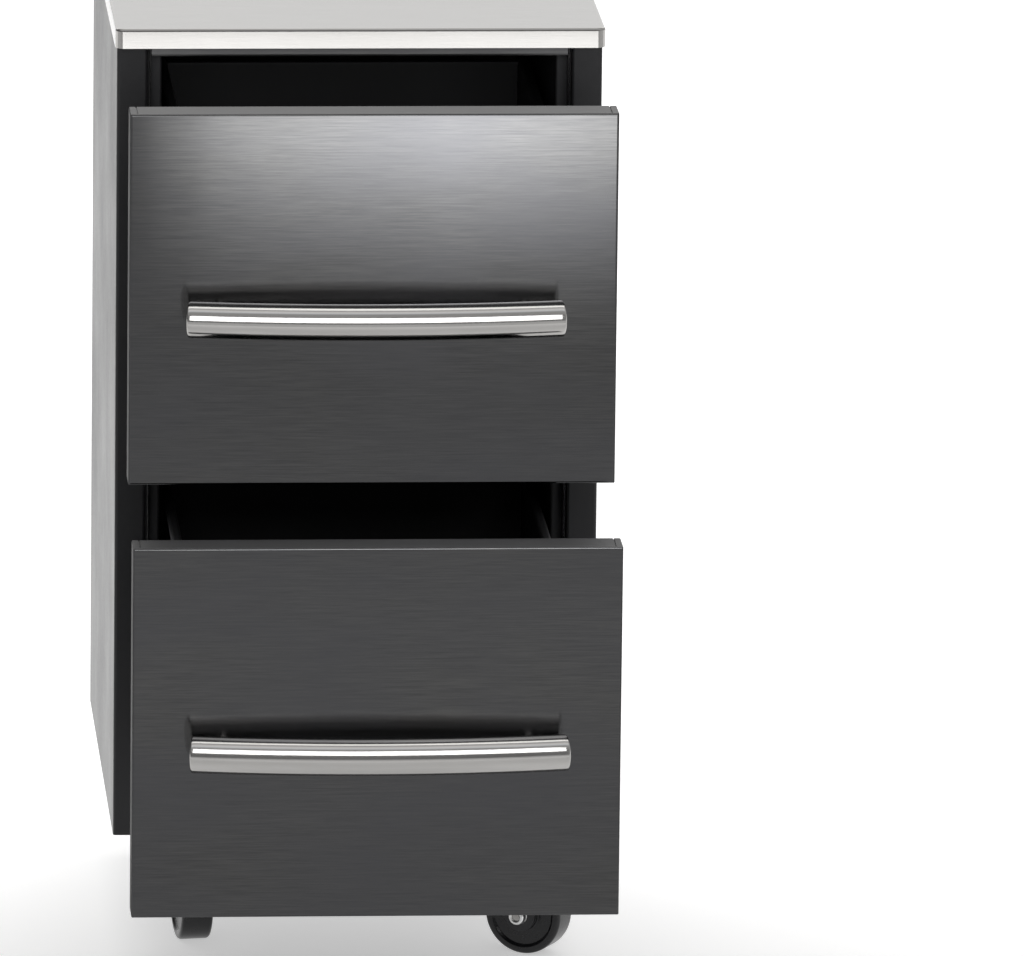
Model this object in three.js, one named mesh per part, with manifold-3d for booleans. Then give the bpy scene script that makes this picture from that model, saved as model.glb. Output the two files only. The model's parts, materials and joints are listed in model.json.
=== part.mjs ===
// A free-standing outdoor kitchen drawer unit: a sheet steel cabinet with a stainless top,
// two deep drawers on telescopic runners, bowed tube handles and four swivel casters.
// Lengths are in millimetres. +Z is up, +X is the unit's right hand seen from the front, and
// the drawer fronts face -Y. Inside the unit group the cabinet's front face is at y = 0, and
// each drawer is drawn closed in a group of its own that is then pulled forward.
import * as THREE from "three";
import { mergeVertices } from "three/addons/utils/BufferGeometryUtils.js";
import Module from "manifold-3d";

const wasm = await Module();
wasm.setup();

// Sheet thicknesses, and the gap between pieces that lie against each other
const sheet = 1.5;
const thinSheet = 1.2;
const gap = 0.3;

// Drawer fronts: a folded outer skin closed at the back by a liner pan
const frontWidth = 400;
const frontHeight = 310;
const frontDepth = 32;
const linerFlange = 12;
const closedGap = 1.5;
const frontSpacing = 30.5;
const bottomReveal = 9.5;
const topReveal = 6;

// How far each drawer stands open
const upperPullLength = 180;
const lowerPullLength = 280;

// Cabinet
const cabinetWidth = 404;
const cabinetDepth = 480;
const stileWidth = 28.5;
const stileReturn = 14;
const bottomRailHeight = 57;
const railOverlap = 5;
const railReturn = 13;
const rearFlange = 16;
const footFlange = 20;
const backFlange = 12;
const wallSetback = 9.5;
const wallStart = 16;
const wallEnd = 18;
const headRoom = 24;

// Stainless top with lips folded down on all four sides
const lipHeight = 18;
const lipOverhang = 14;
const topCorner = 8;
const cornerSteps = 6;

// Base rails, each a hat channel that carries two casters
const baseHeight = 29.5;
const baseWidth = 60;
const baseFlange = 12;
const baseSheet = 1.8;
const baseEndMargin = 12;

// Drawer boxes
const boxRise = 56;
const boxHeight = 208;
const boxLength = 428;
const boxHem = 5.5;
const panFlange = 14;

// Telescopic runners: width across the slide, member heights, lengths and where they sit
const runnerWidth = 12.6;
const runnerRise = 70;
const outerHeight = 45;
const outerReach = 9.4;
const outerLip = 3.2;
const middleHeight = 35;
const middleStart = 3.2;
const middleReach = 10.8;
const ballRowStart = 5;
const ballRowWidth = 2.6;
const innerHeight = 22;
const innerStart = 6.2;
const runnerFront = 14;
const runnerLength = 400;
const middleFront = 16;
const middleLength = 380;

// Handles: a bowed tube with closed ends on two posts
const handleLength = 306;
const handleRadius = 15;
const handleBow = 13.8;
const handleStandOff = 34;
const handleDrop = 164;
const postSpacing = 250;
const postRadius = 6;
const handleSides = 20;
const handleSteps = 16;
const postSides = 18;

// Casters: plate with raceway and rivet, fork, axle and wheel, the foot's arc in degrees
const wheelRadius = 35;
const wheelWidth = 28;
const wheelSides = 28;
const boreRadius = 4.1;
const trail = 34;
const swivelEdge = 77;
const swivelInset = 100;
const plateSize = 60;
const plateCorner = 6;
const plateSheet = 2.5;
const raceRadius = 21;
const raceHeight = 5;
const rivetRadius = 5.5;
const rivetHead = 9;
const rivetHeadHeight = 3;
const forkSheet = 2.5;
const forkClearance = 1.5;
const forkBack = 18;
const forkFront = 14;
const forkFoot = 14;
const forkShoulder = 17;
const forkFootStart = 20;
const forkFootEnd = -155;
const forkFootSteps = 9;
const axleRadius = 4;
const axleHead = 7.5;
const axleHeadHeight = 8;
const boltSpacing = 44;
const boltRadius = 6;
const boltHeight = 4;
const boltSides = 6;
const roundSides = 18;
const casterHeight = 95.7;

// Each caster's name, its place across and along the base, and the angle its wheel trails at
const casterPlaces = [
  { name: "caster_front_right", across: 1, along: -1, turn: -29 },
  { name: "caster_front_left", across: -1, along: -1, turn: 97 },
  { name: "caster_rear_right", across: 1, along: 1, turn: 62 },
  { name: "caster_rear_left", across: -1, along: 1, turn: 118 },
];

// The wheel's half section as shares of its radius and of half its width, from the boss
// over the dished web to the rounded edge of the tread
const wheelSectionShares = [
  [0.4, 1],
  [0.46, 0.83],
  [0.8, 0.83],
  [0.86, 0.97],
  [0.94, 0.96],
  [0.98, 0.9],
  [1, 0.8],
];

// The axle nut's section as shares of its radius and height: a flange, then the nut's rounded
// body, with the bolt's end set back inside it
const axleHeadShares = [
  [1, 0],
  [1, 0.16],
  [0.93, 0.24],
  [0.93, 0.82],
  [0.82, 1],
  [0.58, 1],
  [0.5, 0.84],
  [0, 0.84],
];

// Heights that follow from the sizes above
const baseBottom = casterHeight + gap;
const cabinetBottom = baseBottom + baseHeight - sheet;
const lowerFrontBottom = cabinetBottom + bottomReveal;
const upperFrontBottom = lowerFrontBottom + frontHeight + frontSpacing;
const openingTop = upperFrontBottom + frontHeight + topReveal;
const carcassTop = openingTop + headRoom;
const topSurface = carcassTop + gap + sheet;
const bottomRailTop = cabinetBottom + bottomRailHeight;
const midRailBottom = lowerFrontBottom + frontHeight - railOverlap;
const midRailTop = upperFrontBottom + railOverlap;

// Widths and depths that follow from the sizes above
const sideFace = cabinetWidth / 2;
const sideInner = sideFace - sheet;
const stileEdge = sideFace - stileWidth;
const wallFace = stileEdge - wallSetback;
const swivelPlace = sideFace - swivelEdge;
const runnerBase = wallFace - gap;
const boxFace = runnerBase - runnerWidth - gap;
const frontBack = -closedGap;
const frontFace = frontBack - frontDepth;
const floorTop = cabinetBottom + sheet + gap + sheet;
const backInner = cabinetDepth - sheet - gap - sheet;

// Materials in the colours of the real surfaces
const paint = { color: 0x3c3c3e, roughness: 0.5, metalness: 0.6 };
const brushedBlack = { color: 0x434345, roughness: 0.38, metalness: 0.9 };
const stainless = { color: 0xc4c2bd, roughness: 0.22, metalness: 1 };
const zinc = { color: 0xcfd2d4, roughness: 0.25, metalness: 1 };
const blackNylon = { color: 0x16171a, roughness: 0.3, metalness: 0 };

const unit = new THREE.Group();

function add(group, name, geometry, look) {
  geometry.computeVertexNormals();
  const mesh = new THREE.Mesh(geometry, new THREE.MeshStandardMaterial(look));
  mesh.name = name;
  group.add(mesh);
  return mesh;
}

// A block between two values on each axis
function block(x0, x1, y0, y1, z0, z1) {
  const geometry = new THREE.BoxGeometry(x1 - x0, y1 - y0, z1 - z0);
  geometry.translate((x0 + x1) / 2, (y0 + y1) / 2, (z0 + z1) / 2);
  return geometry;
}

function outline(points) {
  return new THREE.Shape(points.map(([x, y]) => new THREE.Vector2(x, y)));
}

// An (x, z) outline drawn out from y0 to y1
function alongY(shape, y0, y1) {
  const geometry = new THREE.ExtrudeGeometry(shape, { depth: y1 - y0, bevelEnabled: false });
  geometry.rotateX(Math.PI / 2);
  geometry.translate(0, y1, 0);
  return geometry;
}

// An (x, y) outline drawn up from z0 to z1
function alongZ(shape, z0, z1) {
  const geometry = new THREE.ExtrudeGeometry(shape, {
    depth: z1 - z0,
    bevelEnabled: false,
    curveSegments: cornerSteps,
  });
  geometry.translate(0, 0, z0);
  return geometry;
}

// An upright round bar from z0 to z1
function post(radius, sides, z0, z1) {
  const geometry = new THREE.CylinderGeometry(radius, radius, z1 - z0, sides);
  geometry.rotateX(Math.PI / 2);
  geometry.translate(0, 0, (z0 + z1) / 2);
  return geometry;
}

// A rectangle with rounded corners
function roundedRectangle(x0, x1, y0, y1, radius) {
  const shape = new THREE.Shape();
  shape.moveTo(x0 + radius, y0);
  shape.lineTo(x1 - radius, y0);
  shape.absarc(x1 - radius, y0 + radius, radius, -Math.PI / 2, 0, false);
  shape.lineTo(x1, y1 - radius);
  shape.absarc(x1 - radius, y1 - radius, radius, 0, Math.PI / 2, false);
  shape.lineTo(x0 + radius, y1);
  shape.absarc(x0 + radius, y1 - radius, radius, Math.PI / 2, Math.PI, false);
  shape.lineTo(x0, y0 + radius);
  shape.absarc(x0 + radius, y0 + radius, radius, Math.PI, Math.PI * 1.5, false);
  return shape;
}

// A rectangle whose two front corners are rounded
function lidOutline(half, front, back, radius) {
  const shape = new THREE.Shape();
  shape.moveTo(-half, back);
  shape.lineTo(-half, front + radius);
  shape.absarc(radius - half, front + radius, radius, Math.PI, Math.PI * 1.5, false);
  shape.lineTo(half - radius, front);
  shape.absarc(half - radius, front + radius, radius, -Math.PI / 2, 0, false);
  shape.lineTo(half, back);
  return shape;
}

// A closed geometry as a solid that can be joined and cut
function toSolid(geometry) {
  const bare = new THREE.BufferGeometry();
  bare.setAttribute("position", geometry.getAttribute("position"));
  bare.setIndex(geometry.getIndex());
  const merged = mergeVertices(bare);
  const index = merged.getIndex().array;
  const triangles = [];
  for (let i = 0; i < index.length; i += 3) {
    const [a, b, c] = [index[i], index[i + 1], index[i + 2]];
    if (a !== b && b !== c && c !== a) {
      triangles.push(a, b, c);
    }
  }
  const vertProperties = new Float32Array(merged.getAttribute("position").array);
  const triVerts = new Uint32Array(triangles);
  return new wasm.Manifold(new wasm.Mesh({ numProp: 3, vertProperties, triVerts }));
}

function fromSolid(solid) {
  const made = solid.getMesh();
  const geometry = new THREE.BufferGeometry();
  const points = new Float32Array(made.vertProperties);
  geometry.setAttribute("position", new THREE.BufferAttribute(points, 3));
  geometry.setIndex(new THREE.BufferAttribute(new Uint32Array(made.triVerts), 1));
  return geometry;
}

function join(...geometries) {
  const [first, ...others] = geometries.map(toSolid);
  return fromSolid(others.reduce((whole, piece) => whole.add(piece), first));
}

function cut(geometry, ...tools) {
  return fromSolid(tools.map(toSolid).reduce((whole, tool) => whole.subtract(tool), toSolid(geometry)));
}

// Side panel: its wall folds into the front stile, the rear flange and a foot flange
function sidePanel(side) {
  const wrap = outline(
    [
      [sideFace, 0],
      [sideFace, cabinetDepth],
      [sideFace - rearFlange, cabinetDepth],
      [sideFace - rearFlange, cabinetDepth - sheet],
      [sideInner, cabinetDepth - sheet],
      [sideInner, sheet],
      [stileEdge + sheet, sheet],
      [stileEdge + sheet, stileReturn],
      [stileEdge, stileReturn],
      [stileEdge, 0],
    ].map(([x, y]) => [side * x, y]),
  );
  const wall = alongZ(wrap, cabinetBottom, carcassTop);
  const near = side * (sideFace - footFlange);
  const far = side * (sideFace - sheet / 2);
  const foot = block(
    Math.min(near, far),
    Math.max(near, far),
    stileReturn + gap,
    backInner - gap,
    cabinetBottom,
    cabinetBottom + sheet,
  );
  return join(wall, foot);
}

// Inner wall that carries the runners, a channel that opens towards the side panel
function innerWall(side) {
  const reach = sideInner - gap;
  const back = cabinetDepth - wallEnd;
  const section = outline(
    [
      [wallFace, wallStart],
      [reach, wallStart],
      [reach, wallStart + thinSheet],
      [wallFace + thinSheet, wallStart + thinSheet],
      [wallFace + thinSheet, back - thinSheet],
      [reach, back - thinSheet],
      [reach, back],
      [wallFace, back],
    ].map(([x, y]) => [side * x, y]),
  );
  return alongZ(section, floorTop + gap, carcassTop - gap);
}

// Front rail between the stiles, with returns towards the back at the edges asked for
function rail(z0, z1, lowerReturn, upperReturn) {
  const half = stileEdge - gap;
  const pieces = [block(-half, half, 0, sheet, z0, z1)];
  if (lowerReturn) {
    pieces.push(block(-half, half, 0, railReturn, z0, z0 + sheet));
  }
  if (upperReturn) {
    pieces.push(block(-half, half, 0, railReturn, z1 - sheet, z1));
  }
  return join(...pieces);
}

add(unit, "side_panel_right", sidePanel(1), paint);
add(unit, "side_panel_left", sidePanel(-1), paint);
add(unit, "inner_wall_right", innerWall(1), paint);
add(unit, "inner_wall_left", innerWall(-1), paint);
add(unit, "bottom_rail", rail(cabinetBottom, bottomRailTop, false, true), brushedBlack);
add(unit, "middle_rail", rail(midRailBottom, midRailTop, true, true), brushedBlack);
add(unit, "top_rail", rail(openingTop, carcassTop, true, true), brushedBlack);

// Floor pan on the foot flanges, turned up along its back edge
const floorHalf = sideInner - gap;
const floorBottom = cabinetBottom + sheet + gap;
const floorPlate = block(-floorHalf, floorHalf, stileReturn + gap, backInner - gap, floorBottom, floorTop);
const floorBack = block(
  -floorHalf,
  floorHalf,
  backInner - gap - sheet,
  backInner - gap,
  floorBottom,
  floorBottom + panFlange,
);
add(unit, "floor_pan", join(floorPlate, floorBack), paint);

// Back panel inside the rear flanges, with its upright edges turned forward
const backStart = backInner + sheet - backFlange;
const backPlate = block(-floorHalf, floorHalf, backInner, backInner + sheet, cabinetBottom, carcassTop);
const backEdges = [-1, 1].map((side) => {
  const outer = side * floorHalf;
  const inner = side * (floorHalf - sheet);
  const left = Math.min(outer, inner);
  const right = Math.max(outer, inner);
  return block(left, right, backStart, backInner + sheet, floorBottom + panFlange + gap, carcassTop);
});
add(unit, "back_panel", join(backPlate, ...backEdges), paint);

// Stainless top: a plate with rounded corners and a lip folded down all round
const topHalf = sideFace + gap + sheet;
const topFront = -lipOverhang;
const topBack = cabinetDepth + gap + sheet;
const topOuter = lidOutline(topHalf, topFront, topBack, topCorner);
const topInner = lidOutline(topHalf - sheet, topFront + sheet, topBack - sheet, topCorner - sheet);
const topShell = cut(
  alongZ(topOuter, topSurface - lipHeight, topSurface),
  alongZ(topInner, topSurface - lipHeight - sheet, topSurface - sheet),
);
add(unit, "top_sheet", topShell, stainless);

// Base rails under the cabinet
function baseRail(side) {
  const half = baseWidth / 2;
  const inner = half - baseSheet;
  const flange = half + baseFlange;
  const step = baseHeight - baseSheet;
  const section = outline(
    [
      [-half, 0],
      [half, 0],
      [half, step],
      [flange, step],
      [flange, baseHeight],
      [inner, baseHeight],
      [inner, baseSheet],
      [-inner, baseSheet],
      [-inner, baseHeight],
      [-flange, baseHeight],
      [-flange, step],
      [-half, step],
    ].map(([x, z]) => [side * swivelPlace + x, baseBottom + z]),
  );
  return alongY(section, baseEndMargin, cabinetDepth - baseEndMargin);
}
add(unit, "base_rail_right", baseRail(1), paint);
add(unit, "base_rail_left", baseRail(-1), paint);

// A runner member drawn along the slide, from the upper half of its section: each point is
// a distance from the inner wall and a height over the member's centre line
function member(side, upper, front, length, centre) {
  const lower = upper.map(([u, v]) => [u, -v]).reverse();
  const section = outline(
    [...upper, ...lower].map(([u, v]) => [side * (runnerBase - u), centre + v]),
  );
  return alongY(section, front, front + length);
}

// Outer member: a channel with lips folded over at its open edges
const outerHalf = outerHeight / 2;
const outerInner = outerHalf - thinSheet;
const outerUpper = [
  [0, outerHalf],
  [outerReach, outerHalf],
  [outerReach, outerHalf - outerLip],
  [outerReach - thinSheet, outerHalf - outerLip],
  [outerReach - thinSheet, outerInner],
  [thinSheet, outerInner],
];

// Middle member: a channel with a row of balls in a cage outside and inside each flange,
// each row drawn as a rib that fills the race up to the member beyond it
const innerHalf = innerHeight / 2;
const middleHalf = middleHeight / 2;
const middleInner = middleHalf - thinSheet;
const outerRowEnd = outerReach - thinSheet - gap;
const middleUpper = [
  [middleStart, middleHalf],
  [ballRowStart, middleHalf],
  [ballRowStart, outerInner - gap],
  [outerRowEnd, outerInner - gap],
  [outerRowEnd, middleHalf],
  [middleReach, middleHalf],
  [middleReach, innerHalf + gap],
  [middleReach - ballRowWidth, innerHalf + gap],
  [middleReach - ballRowWidth, middleInner],
  [middleStart + thinSheet, middleInner],
];

// Inner member: a channel on the box side whose flanges reach back towards the wall
const innerUpper = [
  [runnerWidth, innerHalf],
  [innerStart, innerHalf],
  [innerStart, innerHalf - thinSheet],
  [runnerWidth - thinSheet, innerHalf - thinSheet],
];

// Everything that belongs to one drawer: its front at height z0, its box, handle and runners
function drawer(name, z0, pull) {
  const group = new THREE.Group();
  group.position.y = -pull;
  unit.add(group);
  const middles = new THREE.Group();
  middles.position.y = -pull / 2;
  unit.add(middles);

  // Front: the skin is a pan open at the back, and the liner is a pan set into it
  const half = frontWidth / 2;
  const top = z0 + frontHeight;
  const skin = cut(
    block(-half, half, frontFace, frontBack, z0, top),
    block(sheet - half, half - sheet, frontFace + sheet, frontBack + sheet, z0 + sheet, top - sheet),
  );
  add(group, `${name}_front_skin`, skin, brushedBlack);
  const linerHalf = half - sheet - gap;
  const linerBottom = z0 + sheet + gap;
  const linerTop = top - sheet - gap;
  const liner = cut(
    block(-linerHalf, linerHalf, frontBack - linerFlange, frontBack, linerBottom, linerTop),
    block(
      thinSheet - linerHalf,
      linerHalf - thinSheet,
      frontBack - linerFlange - thinSheet,
      frontBack - thinSheet,
      linerBottom + thinSheet,
      linerTop - thinSheet,
    ),
  );
  add(group, `${name}_front_liner`, liner, paint);

  // Box: two sides with a hem along the top, a floor pan between them and a back
  const boxBottom = z0 + boxRise;
  const boxTop = boxBottom + boxHeight;
  const boxStart = frontBack + gap;
  const boxEnd = boxStart + boxLength;
  for (const [side, word] of [
    [1, "right"],
    [-1, "left"],
  ]) {
    const section = outline(
      [
        [boxFace - sheet, boxBottom],
        [boxFace, boxBottom],
        [boxFace, boxTop - sheet],
        [boxFace + boxHem, boxTop - sheet],
        [boxFace + boxHem, boxTop],
        [boxFace - sheet, boxTop],
      ].map(([x, z]) => [side * x, z]),
    );
    add(group, `${name}_box_${word}`, alongY(section, boxStart, boxEnd), paint);
  }
  const panHalf = boxFace - sheet - gap;
  const panEnd = boxEnd - sheet - gap;
  const pan = cut(
    block(-panHalf, panHalf, boxStart, panEnd, boxBottom, boxBottom + panFlange),
    block(
      thinSheet - panHalf,
      panHalf - thinSheet,
      boxStart + thinSheet,
      panEnd - thinSheet,
      boxBottom + thinSheet,
      boxBottom + panFlange + thinSheet,
    ),
  );
  add(group, `${name}_box_floor`, pan, paint);
  const backWall = block(-panHalf, panHalf, boxEnd - sheet, boxEnd, boxBottom, boxTop);
  add(group, `${name}_box_back`, backWall, paint);

  // Handle: the tube bows away from the front, and each post is shaped to the tube's back
  const handleHeight = top - handleDrop;
  const barY = frontFace - handleStandOff;
  const bow = (radius) => {
    const path = new THREE.QuadraticBezierCurve3(
      new THREE.Vector3(-handleLength / 2, barY, handleHeight),
      new THREE.Vector3(0, barY - 2 * handleBow, handleHeight),
      new THREE.Vector3(handleLength / 2, barY, handleHeight),
    );
    const ring = [];
    for (let i = 0; i < handleSides; i += 1) {
      const angle = ((i + 0.5) / handleSides) * Math.PI * 2;
      ring.push([radius * Math.cos(angle), radius * Math.sin(angle)]);
    }
    return new THREE.ExtrudeGeometry(outline(ring), { steps: handleSteps, extrudePath: path });
  };
  add(group, `${name}_handle_bar`, bow(handleRadius), stainless);
  for (const [side, word] of [
    [1, "right"],
    [-1, "left"],
  ]) {
    const stem = new THREE.CylinderGeometry(postRadius, postRadius, handleStandOff + handleBow, postSides);
    const stemCentre = frontFace - gap - (handleStandOff + handleBow) / 2;
    stem.translate((side * postSpacing) / 2, stemCentre, handleHeight);
    const shaped = cut(stem, bow(handleRadius + gap));
    add(group, `${name}_handle_post_${word}`, shaped, stainless);
  }

  // Runners: the outer member stays on the inner wall, the middle one moves half as far as
  // the drawer, and the inner one rides on the box side
  const centre = boxBottom + runnerRise;
  for (const [side, word] of [
    [1, "right"],
    [-1, "left"],
  ]) {
    const outer = member(side, outerUpper, runnerFront, runnerLength, centre);
    add(unit, `${name}_runner_outer_${word}`, outer, zinc);
    const middle = member(side, middleUpper, middleFront, middleLength, centre);
    add(middles, `${name}_runner_middle_${word}`, middle, zinc);
    const inner = member(side, innerUpper, runnerFront, runnerLength, centre);
    add(group, `${name}_runner_inner_${word}`, inner, zinc);
  }
}

drawer("upper", upperFrontBottom, upperPullLength);
drawer("lower", lowerFrontBottom, lowerPullLength);

// Caster pieces, drawn about the swivel axis with the wheel trailing along +X
const wheelCentre = wheelRadius * Math.cos(Math.PI / wheelSides);
const raceBottom = casterHeight - plateSheet - raceHeight;
const crownTop = raceBottom - gap;
const crownBottom = crownTop - forkSheet;
const legInner = wheelWidth / 2 + forkClearance;
const legOuter = legInner + forkSheet;

function casterPlate() {
  const half = plateSize / 2;
  const plate = alongZ(
    roundedRectangle(-half, half, -half, half, plateCorner),
    casterHeight - plateSheet,
    casterHeight,
  );
  const race = post(raceRadius, roundSides, raceBottom, casterHeight - plateSheet / 2);
  const rivet = post(rivetRadius, roundSides, crownBottom - gap - rivetHeadHeight, casterHeight - plateSheet);
  const head = post(rivetHead, roundSides, crownBottom - gap - rivetHeadHeight, crownBottom - gap);
  const boltBottom = casterHeight - plateSheet - boltHeight;
  const bolts = [-1, 1].flatMap((across) =>
    [-1, 1].map((along) => {
      const bolt = post(boltRadius, boltSides, boltBottom, casterHeight - plateSheet / 2);
      bolt.translate((across * boltSpacing) / 2, (along * boltSpacing) / 2, 0);
      return bolt;
    }),
  );
  return join(plate, race, rivet, head, ...bolts);
}

// Fork: a crown with two legs that reach down to the axle
function fork() {
  const leg = new THREE.Shape();
  leg.moveTo(-forkBack, crownTop);
  leg.lineTo(forkFront, crownTop);
  const footStart = THREE.MathUtils.degToRad(forkFootStart);
  const footEnd = THREE.MathUtils.degToRad(forkFootEnd);
  leg.absarc(trail, wheelCentre, forkFoot, footStart, footEnd, true);
  leg.lineTo(-forkBack, crownTop - forkShoulder);
  const legs = [-1, 1].map((side) => {
    const geometry = new THREE.ExtrudeGeometry(leg, {
      depth: forkSheet,
      bevelEnabled: false,
      curveSegments: forkFootSteps,
    });
    geometry.rotateX(Math.PI / 2);
    geometry.translate(0, side > 0 ? legOuter : -legInner, 0);
    return geometry;
  });
  const crown = block(-forkBack, forkFront, -legOuter, legOuter, crownBottom, crownTop);
  const rivetHole = post(rivetRadius + gap, roundSides, crownBottom - forkSheet, crownTop + forkSheet);
  const axleSpan = 2 * (legOuter + forkSheet);
  const axleHole = new THREE.CylinderGeometry(axleRadius + gap, axleRadius + gap, axleSpan, roundSides);
  axleHole.translate(trail, 0, wheelCentre);
  return cut(join(crown, ...legs), rivetHole, axleHole);
}

// Axle: a bolt with a flanged nut outside each leg
function axle() {
  const face = legOuter + gap;
  const head = axleHeadShares.map(([r, h]) => [r * axleHead, face + h * axleHeadHeight]);
  const half = [[axleRadius, face], ...head];
  const lower = half.map(([r, v]) => new THREE.Vector2(r, -v)).reverse();
  const upper = half.map(([r, v]) => new THREE.Vector2(r, v));
  const geometry = new THREE.LatheGeometry([...lower, ...upper], roundSides);
  geometry.translate(trail, 0, wheelCentre);
  return geometry;
}

function wheel() {
  const half = wheelSectionShares.map(([r, w]) => [r * wheelRadius, (w * wheelWidth) / 2]);
  const upper = [[boreRadius + gap, wheelWidth / 2], ...half];
  const lower = upper.map(([r, v]) => [r, -v]).reverse();
  const loop = [...upper, ...lower, upper[0]].map(([r, v]) => new THREE.Vector2(r, v)).reverse();
  const geometry = new THREE.LatheGeometry(loop, wheelSides);
  geometry.rotateY(Math.PI / wheelSides);
  geometry.translate(trail, 0, wheelCentre);
  return geometry;
}

for (const place of casterPlaces) {
  const stand = new THREE.Group();
  stand.position.x = place.across * swivelPlace;
  stand.position.y = place.along > 0 ? cabinetDepth - swivelInset : swivelInset;
  unit.add(stand);
  add(stand, `${place.name}_plate`, casterPlate(), zinc);
  const turned = new THREE.Group();
  turned.rotation.z = THREE.MathUtils.degToRad(place.turn);
  stand.add(turned);
  add(turned, `${place.name}_fork`, fork(), paint);
  add(turned, `${place.name}_axle`, axle(), zinc);
  add(turned, `${place.name}_wheel`, wheel(), blackNylon);
}

// The unit stands with its footprint centred on the origin, as it is with the drawers pulled
const handleFront = frontFace - handleStandOff - handleBow - handleRadius - lowerPullLength;
unit.position.y = -(handleFront + topBack) / 2;

const drawerUnit = new THREE.Group();
drawerUnit.add(unit);

export default drawerUnit;
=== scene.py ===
"""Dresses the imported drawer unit: folded sheet metal, tube handles, runners and casters.

Every piece is placed from the boxes of the CAD nodes and from the joints, in metres.
"""

import json
import math

import bmesh
import bpy
from mathutils import Matrix, Vector

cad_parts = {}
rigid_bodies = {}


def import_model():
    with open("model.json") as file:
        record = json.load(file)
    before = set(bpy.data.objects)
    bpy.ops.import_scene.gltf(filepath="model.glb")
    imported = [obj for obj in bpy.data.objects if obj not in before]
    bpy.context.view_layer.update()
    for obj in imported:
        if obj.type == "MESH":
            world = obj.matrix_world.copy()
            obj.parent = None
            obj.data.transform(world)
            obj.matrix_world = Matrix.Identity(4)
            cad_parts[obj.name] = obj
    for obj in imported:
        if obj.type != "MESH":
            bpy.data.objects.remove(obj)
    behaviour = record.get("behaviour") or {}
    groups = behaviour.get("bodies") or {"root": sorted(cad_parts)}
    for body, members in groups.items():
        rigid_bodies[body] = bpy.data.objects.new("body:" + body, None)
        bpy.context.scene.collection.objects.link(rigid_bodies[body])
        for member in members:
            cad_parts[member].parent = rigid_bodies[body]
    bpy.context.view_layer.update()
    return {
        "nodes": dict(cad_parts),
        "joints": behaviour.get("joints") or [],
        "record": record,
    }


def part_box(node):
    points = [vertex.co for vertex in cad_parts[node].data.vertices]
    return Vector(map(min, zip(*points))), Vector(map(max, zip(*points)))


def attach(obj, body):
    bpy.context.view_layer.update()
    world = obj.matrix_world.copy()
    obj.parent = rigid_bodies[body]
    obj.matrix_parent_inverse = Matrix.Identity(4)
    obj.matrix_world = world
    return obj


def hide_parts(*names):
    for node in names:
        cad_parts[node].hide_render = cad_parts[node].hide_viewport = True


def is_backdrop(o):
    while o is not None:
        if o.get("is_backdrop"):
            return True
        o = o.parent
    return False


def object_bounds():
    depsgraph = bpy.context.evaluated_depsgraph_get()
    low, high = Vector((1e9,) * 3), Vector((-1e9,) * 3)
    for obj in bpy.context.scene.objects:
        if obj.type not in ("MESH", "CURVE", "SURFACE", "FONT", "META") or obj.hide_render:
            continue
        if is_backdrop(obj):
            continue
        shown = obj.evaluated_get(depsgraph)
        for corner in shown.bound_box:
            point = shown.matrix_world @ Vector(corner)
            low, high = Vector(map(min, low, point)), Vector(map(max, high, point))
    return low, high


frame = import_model()
record = frame["record"]
nodes = frame["nodes"]
BODY = {n: body for body, members in record["behaviour"]["bodies"].items() for n in members}
JOINT = {j["name"]: j for j in frame["joints"]}
MM = 0.001
# sheet thicknesses, the depth of the brushing, a fold's outer radius, the eased cut edge of a
# sheet, and the angle over which a surface breaks into an edge
SHEET = 1.5 * MM
THIN = 1.2 * MM
FINE = 0.003 * MM
FOLD = 2.2 * MM
CUT_EDGE = 0.2 * MM
SHARP = 35
SIDES = ((1, "right"), (-1, "left"))
DRAWERS = ("upper", "lower")
CASTERS = ("caster_front_right", "caster_front_left", "caster_rear_right", "caster_rear_left")

scene = bpy.context.scene
scene.view_settings.view_transform = "Standard"


# Camera
def aim_camera():
    """The camera that the photograph's straight edges fit, with no shift."""
    yaw, pitch, roll = 0.071297, 0.223192, 0.011512
    focal_pixels, picture_width, sensor = 14280.83, 1024, 36
    place = Vector((-0.69958, -11.67608, 3.07513))
    c, s, cp, sp = math.cos(yaw), math.sin(yaw), math.cos(pitch), math.sin(pitch)
    right = Vector((c, -s, 0))
    forward = Vector((s * cp, c * cp, -sp))
    up = Vector((s * sp, c * sp, cp))
    turned_right = right * math.cos(roll) + up * math.sin(roll)
    turned_up = up * math.cos(roll) - right * math.sin(roll)
    data = bpy.data.cameras.new("camera")
    data.sensor_fit = "HORIZONTAL"
    data.sensor_width = sensor
    data.lens = focal_pixels * sensor / picture_width
    data.clip_start = 0.1
    data.clip_end = 200
    camera = bpy.data.objects.new("camera", data)
    scene.collection.objects.link(camera)
    rows = zip(turned_right, turned_up, -forward, place)
    camera.matrix_world = Matrix([*[list(r) for r in rows], [0, 0, 0, 1]])
    scene.camera = camera


aim_camera()


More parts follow.
